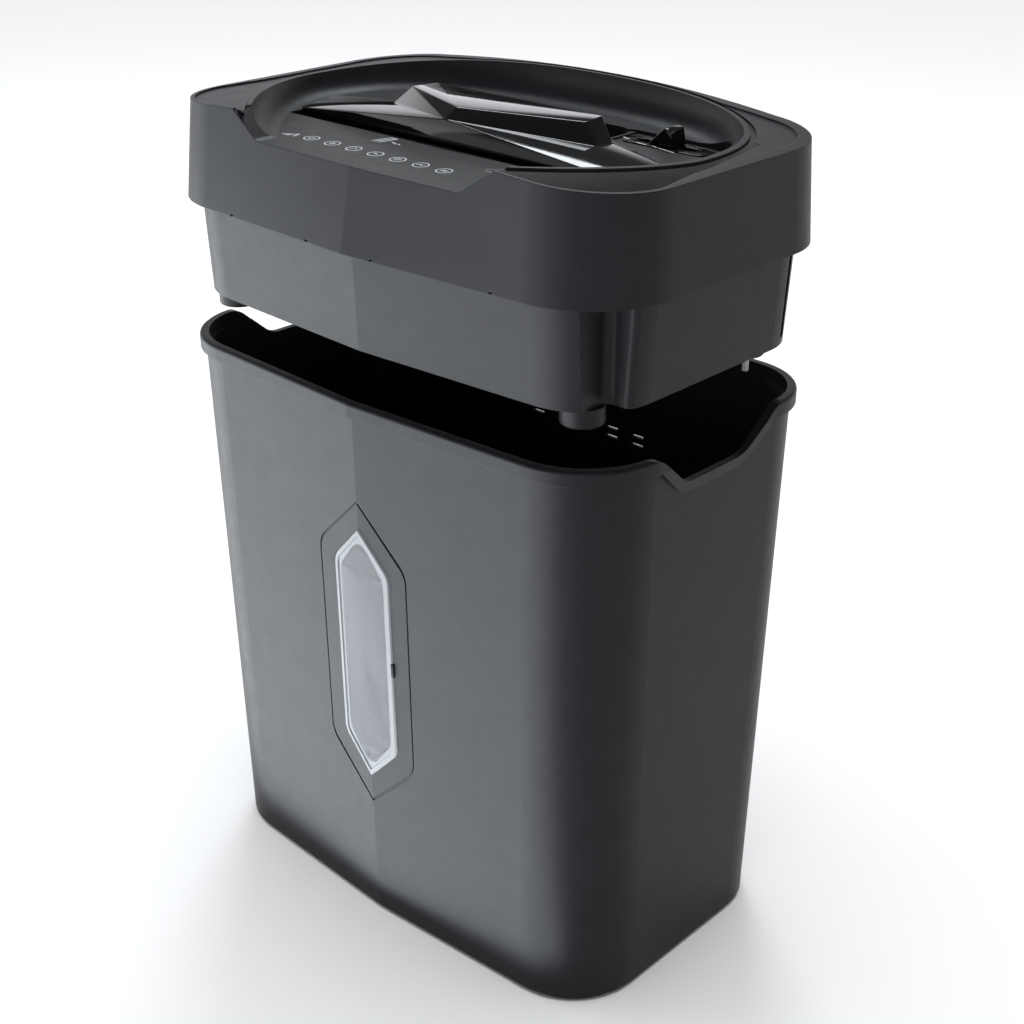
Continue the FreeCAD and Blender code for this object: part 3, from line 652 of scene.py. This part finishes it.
# strokes of each sign, as shares of the ring's radius
signStrokes = [
    [(-0.4, -0.35, 0.4, -0.35), (0.4, -0.35, 0.4, 0.3), (0.4, 0.3, -0.4, 0.3),
     (-0.4, 0.3, -0.4, -0.35)],
    [(-0.45, 0.0, 0.45, 0.0), (-0.25, 0.3, 0.25, 0.3), (-0.25, -0.3, 0.25, -0.3)],
    [(-0.45, -0.3, 0.1, 0.35), (0.1, 0.35, 0.45, -0.05)],
    [(-0.45, 0.12, 0.45, -0.12), (-0.45, 0.12, -0.2, 0.38)],
    [(-0.35, -0.35, -0.35, 0.35), (-0.35, 0.35, 0.3, 0.35), (0.0, -0.35, 0.3, 0.1)],
    [(-0.45, -0.2, -0.1, 0.25), (-0.1, 0.25, 0.15, -0.2), (0.15, -0.2, 0.45, 0.25)],
    [(-0.35, -0.3, 0.35, 0.3), (-0.35, 0.3, 0.35, -0.3), (-0.5, 0.0, 0.5, 0.0)],
]
arrowStrokes = [(-1.0, -0.5, 0.2, -0.5), (0.0, -0.2, 0.8, 0.9), (0.8, 0.9, 1.1, -0.4),
                (-0.8, -0.2, 0.1, 0.2)]
sheetStrokes = [(-1.5, -1.6, -0.9, 0.9), (-0.9, -1.6, -0.3, 0.9), (-0.3, -1.6, 0.3, 0.9),
                (-0.9, 0.9, 0.3, 0.9), (0.9, -0.6, 1.9, -0.9), (2.2, -0.8, 2.5, -0.9)]
switchStrokes = [(-22.0, 7.2, -18.0, 6.0), (-9.5, 2.6, -3.6, 1.8), (1.2, 2.0, 4.0, 1.2),
                 (6.0, 0.8, 9.0, 0.0), (10.0, -0.2, 17.0, -1.6)]

# name, place, strokes, scale of the strokes, line width
signGroups = [("panelArrow", (-0.0715, -0.0715), arrowStrokes, 0.004, 0.0006),
              ("slotSign", (-0.0245, -0.0445), sheetStrokes, 0.0042, 0.0006),
              ("switchSigns", (0.0790, 0.0370), switchStrokes, 0.001, 0.0007)]


def deckLevel():
    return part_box("throat_handle")[0].z


def addStroke(centre, ends, scale, width):
    start = Vector((centre[0] + ends[0] * scale, centre[1] + ends[1] * scale))
    end = Vector((centre[0] + ends[2] * scale, centre[1] + ends[3] * scale))
    along = end - start
    middle = (start + end) / 2
    deselect()
    bpy.ops.mesh.primitive_cube_add(size=1, location=(middle.x, middle.y, deckLevel()))
    stroke = bpy.context.object
    stroke.scale = (along.length + width, width, markValues["thickness"])
    stroke.rotation_euler = (0, 0, along.angle_signed(Vector((1, 0))))
    settle(stroke)
    return stroke


def addRing(centre):
    deselect()
    bpy.ops.mesh.primitive_torus_add(major_segments=48, minor_segments=6,
                                     major_radius=markValues["ringRadius"],
                                     minor_radius=markValues["line"] / 2,
                                     location=(centre[0], centre[1], deckLevel()))
    ring = bpy.context.object
    ring.scale = (1, 1, markValues["thickness"] / markValues["line"])
    settle(ring)
    return ring


def addMarks():
    radius, width = markValues["ringRadius"], markValues["innerLine"]
    for i in range(markValues["ringCount"]):
        x = (i - (markValues["ringCount"] - 1) / 2) * markValues["ringPitch"]
        centre = (markValues["ringX"] + x, markValues["ringY"])
        parts = [addRing(centre)]
        for ends in signStrokes[i]:
            parts.append(addStroke(centre, ends, radius, width))
        finishPiece(join(parts, "panelSign" + str(i + 1)), "shredder_head", "black_plastic", ink)
    for name, centre, strokes, scale, line in signGroups:
        parts = [addStroke(centre, ends, scale, line) for ends in strokes]
        finishPiece(join(parts, name), "shredder_head", "black_plastic", ink)
    print("printed marks are in")


addMarks()
